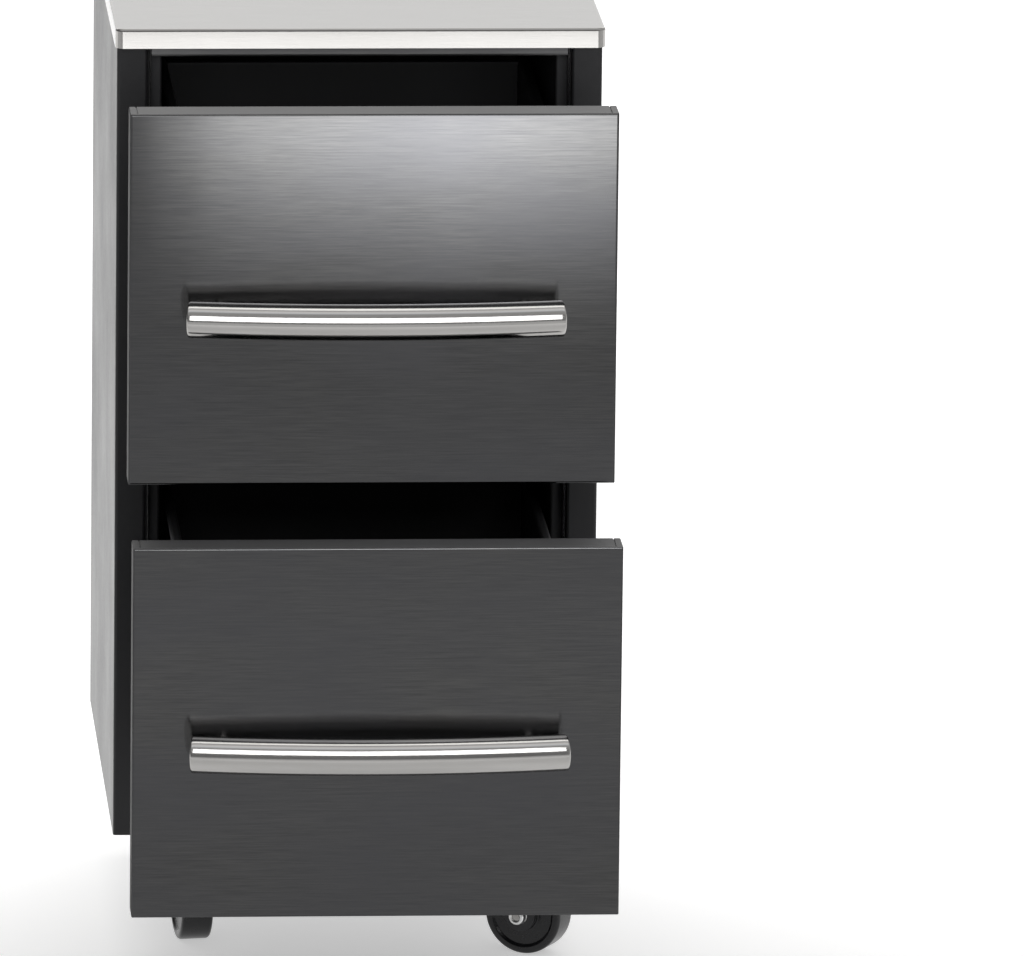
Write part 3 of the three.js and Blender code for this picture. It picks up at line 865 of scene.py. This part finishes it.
def handle(drawer):
    """The bowed tube with eased ends, and its two posts."""
    node = f"{drawer}_handle_bar"
    radius, ease, around, steps, rim_steps = 15 * MM, 1.6 * MM, 72, 72, 6
    line = bow_line(node, radius, steps)
    mesh = bmesh.new()
    rings = []

    def ring(centre, direction, r):
        up = Vector((0, 0, 1))
        out = direction.cross(up).normalized()
        made = []
        for i in range(around):
            t = 2 * math.pi * i / around
            made.append(mesh.verts.new(centre + (out * math.cos(t) + up * math.sin(t)) * r))
        rings.append(made)

    def rim(centre, inward, facing, order):
        """An eased end of the tube. inward points into the tube, facing along the line."""
        for k in order:
            t = math.pi / 2 * k / rim_steps
            place = centre + inward * ease * (1 - math.sin(t))
            ring(place, facing, radius - ease * (1 - math.cos(t)))

    along = [(b - a).normalized() for a, b in zip(line, line[1:])]
    rim(line[0], along[0], along[0], range(rim_steps, -1, -1))
    for a, b, centre in zip(along, along[1:], line[1:-1]):
        ring(centre, (a + b).normalized(), radius)
    rim(line[-1], -along[-1], along[-1], range(rim_steps + 1))
    for a, b in zip(rings, rings[1:]):
        for i in range(around):
            j = (i + 1) % around
            mesh.faces.new((a[i], a[j], b[j], b[i]))
    mesh.faces.new(rings[0])
    mesh.faces.new(rings[-1])
    piece(f"{node}_tube", mesh, TUBE, [node], smooth=60, flats=False)

    r, ease, foot, waist = 6 * MM, 0.3 * MM, 1.6 * MM, 0.5 * MM
    for _, word in SIDES:
        post = f"{drawer}_handle_post_{word}"
        low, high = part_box(post)
        centre = Vector(((low.x + high.x) / 2, high.y, (low.z + high.z) / 2))
        reach = high.y - low.y
        profile = [(0, 0), (r - ease, 0), (r, ease), (r, foot), (r - waist, foot + 0.4 * MM)]
        profile += [(r - waist, reach - ease), (0, reach - ease)]
        mesh = lathe(bmesh.new(), profile, 40, centre, (0, -1, 0))
        piece(f"{post}_turned", mesh, TUBE, [post], smooth=40)


def post_screws(drawer):
    """The screws that hold the handle posts, on the liner inside the box."""
    mesh = bmesh.new()
    for _, word in SIDES:
        low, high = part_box(f"{drawer}_handle_post_{word}")
        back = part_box(f"{drawer}_front_liner")[1].y
        place = ((low.x + high.x) / 2, back, (low.z + high.z) / 2)
        pan_head(mesh, place, (0, 1, 0), 4.4 * MM, 2.6 * MM)
    piece(f"{drawer}_handle_screws", mesh, SCREW, [], f"{drawer}_drawer")


for drawer in DRAWERS:
    front_skin(drawer)
    front_liner(drawer)
    drawer_box(drawer)
    handle(drawer)
    post_screws(drawer)


# Runners
def ball_row(mesh, x, z, start, end, radius):
    """A row of balls along Y, with some space between them."""
    count = int((end - start) / (radius * 4.4))
    arc = [math.pi * i / 8 for i in range(9)]
    profile = [(radius * math.sin(t), -radius * math.cos(t)) for t in arc]
    for i in range(count):
        y = start + (end - start) * (i + 0.5) / count
        lathe(mesh, profile, 14, (x, y, z), (0, 1, 0))
    return mesh


# the members' sections, in millimetres from the inner wall and from the runner's middle
OUTER_SECTION = ((9.4, 19.3), (9.4, 22.5), (0, 22.5), (0, -22.5), (9.4, -22.5), (9.4, -19.3))
MIDDLE_SECTION = ((10.8, 17.5), (3.2, 17.5), (3.2, -17.5), (10.8, -17.5))
INNER_SECTION = ((6.2, 11), (12.6, 11), (12.6, -11), (6.2, -11))
# a row of balls and its strip: the balls' place and radius, then the strip's two sides
OUTER_ROW = (6.5, 19.2, 1.5), (4.2, 8.0), (17.7, 18.2)
INNER_ROW = (9.2, 13.8, 2.0), (8.0, 8.5), (11.6, 16.0)


def runner(drawer, side, word):
    """Three rolled members, with the rows of balls on the middle one."""
    outer = f"{drawer}_runner_outer_{word}"
    middle = f"{drawer}_runner_middle_{word}"
    inner = f"{drawer}_runner_inner_{word}"
    low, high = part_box(outer)
    base = side * max(abs(low.x), abs(high.x))
    centre = (low.z + high.z) / 2

    def path(points):
        line = [(base - side * u * MM, centre + v * MM) for u, v in points]
        return line if side > 0 else line[::-1]

    mesh = folded(bmesh.new(), path(OUTER_SECTION)[::-1], THIN, "y", low.y, high.y, 1.7 * MM, 4)
    piece(f"{outer}_rolled", mesh, ZINC, [outer])

    low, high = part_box(middle)
    mesh = folded(bmesh.new(), path(MIDDLE_SECTION)[::-1], THIN, "y", low.y, high.y, 1.6 * MM, 4)
    rear = high.y - 12 * MM
    front = low.y + 8 * MM
    rows = (
        (OUTER_ROW, (rear - 150 * MM, rear), (rear - 156 * MM, rear + 6 * MM)),
        (INNER_ROW, (front, front + 142 * MM), (front - 4 * MM, front + 148 * MM)),
    )
    for sign in (1, -1):
        for ((across, up, radius), wide, strip), balls, length in rows:
            x = base - side * across * MM
            z = centre + sign * up * MM
            ball_row(mesh, x, z, *balls, radius * MM)
            x0, x1 = sorted(base - side * u * MM for u in wide)
            z0, z1 = sorted(centre + sign * v * MM for v in strip)
            block(mesh, (x0, length[0], z0), (x1, length[1], z1), 0.1 * MM, 1)
    piece(f"{middle}_rolled", mesh, ZINC, [middle])

    low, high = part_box(inner)
    mesh = folded(bmesh.new(), path(INNER_SECTION), THIN, "y", low.y, high.y, 1.6 * MM, 4)
    piece(f"{inner}_rolled", mesh, ZINC, [inner])
    mesh = bmesh.new()
    web = base - side * 11.4 * MM
    for share in (0.06, 0.34, 0.62, 0.9):
        place = (web, low.y + (high.y - low.y) * share, centre)
        pan_head(mesh, place, (side, 0, 0), 3.2 * MM, 1.8 * MM)
    piece(f"{inner}_screws", mesh, SCREW, [], f"{drawer}_drawer")


for drawer in DRAWERS:
    for side, word in SIDES:
        runner(drawer, side, word)


# Casters
# half sections in millimetres: the wheel's from its bore to the middle of its tread, as radius
# and distance from its middle, and the flanged nut's from its rounded end to its flange, as
# radius and height over the fork's leg
WHEEL_SECTION = (
    (4.4, 14.0), (6.4, 14.0), (7.0, 13.6), (8.6, 13.6), (9.2, 14.0), (12.6, 14.0),
    (13.6, 13.5), (14.4, 11.9), (15.4, 11.5), (26.2, 11.5), (27.0, 11.8), (28.4, 13.2),
    (29.2, 13.5), (30.8, 13.5), (32.3, 13.3), (33.5, 12.8), (34.2, 12.1), (34.6, 11.3),
    (34.78, 10.2), (34.78, 4.0),
)
NUT_SECTION = (
    (0, 6.2), (3.4, 6.2), (3.7, 7.2), (4.3, 7.9), (5.2, 8.0), (6.1, 7.7), (6.7, 7.0),
    (6.95, 6.2), (6.95, 1.9), (7.2, 1.5), (7.5, 1.2), (7.5, 0.4), (7.2, 0),
)
BOLT_END = ((0, 6.3), (2.6, 6.35), (3.2, 6.7), (3.3, 7.2), (2.9, 7.5), (0, 7.5))
# the fork's outer face from the wheel's middle, and the bolt's radius
LEG_FACE, BOLT_RADIUS = 18.3, 4.0


def caster(name):
    """A moulded wheel, an axle bolt with a flanged nut outside each leg, the fork and the plate."""
    roll = JOINT[f"{name}_roll"]
    hub, axis = Vector(roll["pos_m"]), Vector(roll["axis"])
    wheel = f"{name}_wheel"
    profile = [(a * MM, b * MM) for a, b in WHEEL_SECTION]
    profile += [(a, -b) for a, b in profile[::-1]]
    mesh = lathe(bmesh.new(), profile, 96, hub, axis, closed=True)
    piece(f"{wheel}_moulded", mesh, NYLON, [wheel], smooth=32)

    axle = f"{name}_axle"
    body = [(a * MM, (LEG_FACE + h) * MM) for a, h in NUT_SECTION]
    body.append((BOLT_RADIUS * MM, LEG_FACE * MM))
    profile = body + [(a, -b) for a, b in body[::-1]]
    mesh = lathe(bmesh.new(), profile, 56, hub, axis)
    piece(f"{axle}_turned", mesh, BRIGHT_ZINC, [axle], smooth=50)
    # the bolt's ends inside the nuts
    mesh = bmesh.new()
    end = [(a * MM, (LEG_FACE + h) * MM) for a, h in BOLT_END]
    for sign in (1, -1):
        lathe(mesh, end, 24, hub, axis * sign)
    piece(f"{axle}_ends", mesh, SCREW, [], BODY[axle])
    ease_cad(f"{name}_fork", PAINT, 0.7 * MM, 3)
    ease_cad(f"{name}_plate", ZINC, 0.4 * MM, 2)


for name in CASTERS:
    caster(name)


# Floor, world and lamps
# what brushed metal sees of the ground in front of the unit: the place along Y and its glow
GROUND = ((-4.0, 0.2), (-3.3, 0.24), (-2.7, 0.0), (-2.35, 0.36), (-1.9, 0.42), (-1.1, 0.0))
# elevation seen from the unit in degrees, from the front over the top to the back: the
# room's level there and how warm it is
BANDS = (
    (0, 0.2, 0.0),
    (36, 0.2, 0.0),
    (46, 0.36, 0.0),
    (62, 0.4, 0.0),
    (70, 0.85, -0.03),
    (80, 0.85, 0.02),
    (86, 0.55, 0.0),
    (94, 0.42, 0.0),
    (128, 0.42, 0.02),
    (150, 0.55, 0.01),
    (164, 0.85, 0.0),
    (180, 0.9, 0.0),
)
# the room's level to the unit's right and left
RIGHT_LEVEL, LEFT_LEVEL = 0.42, 0.14
# the low soft box's brightness along its width, which fades towards the unit's left
ACROSS = (
    (0.0, 0.0),
    (0.06, 0.06),
    (0.09, 0.16),
    (0.15, 0.3),
    (0.19, 0.46),
    (0.28, 0.64),
    (0.4, 0.78),
    (0.52, 0.88),
    (0.65, 1.0),
    (0.8, 0.92),
    (1.0, 0.72),
)
# and along its height, from its lower edge to its top
UPWARD = (
    (0.0, 0.0),
    (0.2, 0.06),
    (0.4, 0.25),
    (0.56, 0.5),
    (0.72, 1.0),
    (0.82, 1.0),
    (0.94, 0.1),
    (1.0, 0.0),
)
# a brightness with soft edges on both sides
SOFT = ((0.0, 0.0), (0.3, 0.75), (0.5, 1.0), (0.7, 0.75), (1.0, 0.0))
# the overhead lamp's slightly warm colour
CREAM = (1, 0.99, 0.965)


def stage_floor():
    """A pale floor that keeps the shadow and glows to white away from the unit."""
    half = 60
    mesh = bmesh.new()
    signs = ((-1, -1), (1, -1), (1, 1), (-1, 1))
    mesh.faces.new([mesh.verts.new((x * half, y * half, 0)) for x, y in signs])
    data = bpy.data.meshes.new("floor")
    mesh.to_mesh(data)
    mesh.free()
    floor = bpy.data.objects.new("floor", data)
    scene.collection.objects.link(floor)
    look = Look("floor", (0.82, 0.82, 0.82), 0.0, 0.9, Specular_IOR_Level=0.1)
    cloud = look.noise(even(1.2), 3, 0.5)
    look.colour(look.mix(look.spread(cloud, 0, 1), (0.81, 0.81, 0.812), (0.83, 0.83, 0.828)))
    # behind the unit the floor glows for the camera and in metal, and all round it, farther
    # away, for the camera alone
    path = look.add("ShaderNodeLightPath").outputs
    place = look.split(look.coordinates)
    behind = look.spread(place["Y"], 0.0, 0.6, -0.8, 0.3)
    squares = [look.calc(place[axis], 2.0, "POWER") for axis in "XY"]
    away = look.spread(look.calc(look.calc(*squares), 0.5, "POWER"), 0.0, 0.8, 0.55, 2.6)
    metal = look.calc(path["Is Glossy Ray"], path["Is Transmission Ray"])
    seen = look.calc(path["Is Camera Ray"], look.calc(behind, away, "MAXIMUM"), "MULTIPLY")
    glow = look.calc(look.calc(metal, behind, "MULTIPLY"), seen)
    # the ground in front glows in soft bands that only reflections see: painted light that shows in
    # the brushed fronts
    start = GROUND[0][0]
    stops = [((y - start) / -start, level) for y, level in GROUND]
    bands = look.ramp(look.spread(place["Y"], 0.0, 1.0, start, 0.0), stops)
    glow = look.calc(glow, look.calc(path["Is Glossy Ray"], bands, "MULTIPLY"))
    look.shader.inputs["Emission Color"].default_value = (1, 1, 1, 1)
    look.link(glow, look.shader.inputs["Emission Strength"])
    data.materials.append(look.material)
    floor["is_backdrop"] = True


def studio_world():
    """A dim room with soft bands of light over the unit, from the front horizon to the back."""
    world = bpy.data.worlds.new("studio")
    scene.world = world
    world.use_nodes = True
    background = world.node_tree.nodes["Background"]
    room = Tree(world.node_tree)
    way = room.split(room.add("ShaderNodeTexCoord").outputs["Generated"])
    front = room.calc(way["Y"], -1.0, "MULTIPLY")
    angle = room.calc(room.calc(way["Z"], front, "ARCTAN2"), math.pi, "DIVIDE")
    stops = []
    for elevation, level, warmth in BANDS:
        stops.append((elevation / 180, (level * (1 + warmth), level, level * (1 - warmth))))
    colour = room.ramp(angle, stops)
    for sign, level in ((1, RIGHT_LEVEL), (-1, LEFT_LEVEL)):
        sideways = room.calc(way["X"], sign, "MULTIPLY")
        share = room.spread(sideways, 0, 1, 0.35, 0.85, "SMOOTHSTEP")
        colour = room.mix(share, colour, (level, level, level))
    # the camera sees the room white, as it sees the far floor
    path = room.add("ShaderNodeLightPath").outputs
    seen = room.calc(path["Is Camera Ray"], path["Is Transmission Ray"], "MAXIMUM")
    room.link(room.mix(seen, colour, (1.0, 1.0, 1.0)), background.inputs["Color"])
    background.inputs["Strength"].default_value = 1


def area(name, place, target, width, height, radiance, tint=(1, 1, 1)):
    """A soft box: an area lamp of a given brightness that the camera doesn't see."""
    data = bpy.data.lights.new(name, "AREA")
    data.shape = "RECTANGLE"
    data.size, data.size_y = width, height
    data.energy = radiance * math.pi * width * height
    data.color = tint
    lamp = bpy.data.objects.new(name, data)
    scene.collection.objects.link(lamp)
    lamp.location = place
    aim = Vector(target) - Vector(place)
    lamp.rotation_euler = aim.to_track_quat("-Z", "Y").to_euler()
    lamp.visible_camera = False
    return lamp


def link_light(lamp, word, state="INCLUDE"):
    """Points a lamp at the pieces whose names hold a word, or with EXCLUDE keeps it off them."""
    chosen = bpy.data.collections.new(f"{lamp.name}_receivers")
    for made in scene.collection.all_objects:
        if made.type == "MESH" and word in made.name:
            chosen.objects.link(made)
    for link in chosen.collection_objects:
        link.light_linking.link_state = state
    lamp.light_linking.receiver_collection = chosen


def fade(lamp, across, upward):
    """Makes a soft box brighter or weaker from its left end to its right, and upward."""
    lamp.data.use_nodes = True
    light = Tree(lamp.data.node_tree)
    place = light.split(light.add("ShaderNodeNewGeometry").outputs["Parametric"])
    levels = [light.ramp(place[axis], stops) for axis, stops in (("X", across), ("Y", upward))]
    strength = light.calc(*levels, "MULTIPLY")
    light.link(strength, lamp.data.node_tree.nodes["Emission"].inputs["Color"])


stage_floor()
studio_world()
# the low soft box, whose lower edge falls across the upper front
low_box = area("low_box", (0.02, -0.62, 0.645), (0.02, 0, 0.645), 0.44, 0.25, 7.4)
fade(low_box, ACROSS, UPWARD)
link_light(low_box, "front_skin")
# the strip that the lip of the top shows
lip_strip = area("lip_strip", (0.0, -0.62, 0.79), (0.0, 0, 0.79), 0.9, 0.07, 1.55)
link_light(lip_strip, "top_sheet")
# the soft box in front, and the one overhead
front_box = area("front_box", (0.04, -1.42, 1.13), (0.04, 0.2, 0.75), 1.25, 0.62, 3.2)
link_light(front_box, "top_sheet", "EXCLUDE")
overhead_box = area("overhead_box", (0.0, 0.9, 2.6), (0.0, 0.9, 0), 2.6, 2.2, 1.15, CREAM)
link_light(overhead_box, "top_sheet", "EXCLUDE")
# a weaker one for the top alone, with soft edges
top_box = area("top_box", (-0.05, 0.92, 2.6), (-0.05, 0.92, 0), 1.3, 1.5, 0.62)
fade(top_box, SOFT, SOFT)
link_light(top_box, "top_sheet")
# the light on the ground behind the unit
area("back_box", (0, 3.4, 3.2), (0, 2.6, 0), 6.0, 2.6, 0.8)


# The box round the shown solids, leaving out the floor
low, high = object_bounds()
